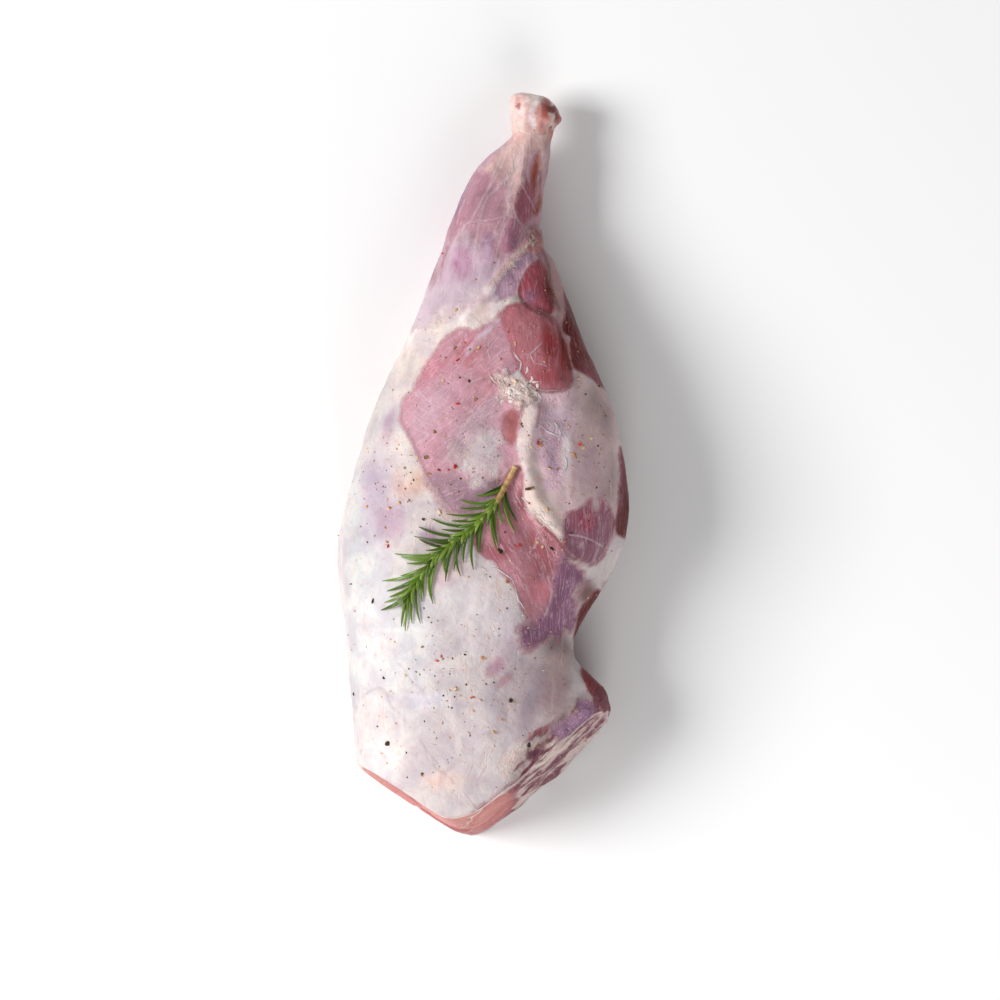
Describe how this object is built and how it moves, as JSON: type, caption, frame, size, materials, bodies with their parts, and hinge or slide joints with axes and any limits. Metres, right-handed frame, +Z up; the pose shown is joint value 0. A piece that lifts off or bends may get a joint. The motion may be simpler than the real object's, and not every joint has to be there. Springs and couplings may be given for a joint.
{
  "type": "raw leg of lamb",
  "caption": "Raw bone-in leg of lamb with shank knuckle, fat cover, trimmed butt end, cracked pepper and a rosemary sprig on top.",
  "frame": {"origin": "under the middle of the leg's outline, on the plane that it rests on", "axes": "+Y towards the shank's knuckle, -Y towards the trimmed butt end, +Z up through the fat cover and the rosemary, +X towards the leg's inner muscles"},
  "size_m": [0.1624, 0.4191, 0.0947],
  "materials": {
    "meat_and_fat": "moist raw lamb: rose-red muscle under milky fat cover and silverskin, soft gloss",
    "bone": "pale damp bone with pink tissue on it",
    "rosemary": "fresh leathery green needles on a tan woody stem",
    "pepper": "cracked peppercorn: black, cream and red flakes"
  },
  "bodies": {
    "root": {"leg": "meat_and_fat", "shank_bone": "bone", "rosemary_sprig": "rosemary"}
  },
  "joints": []
}
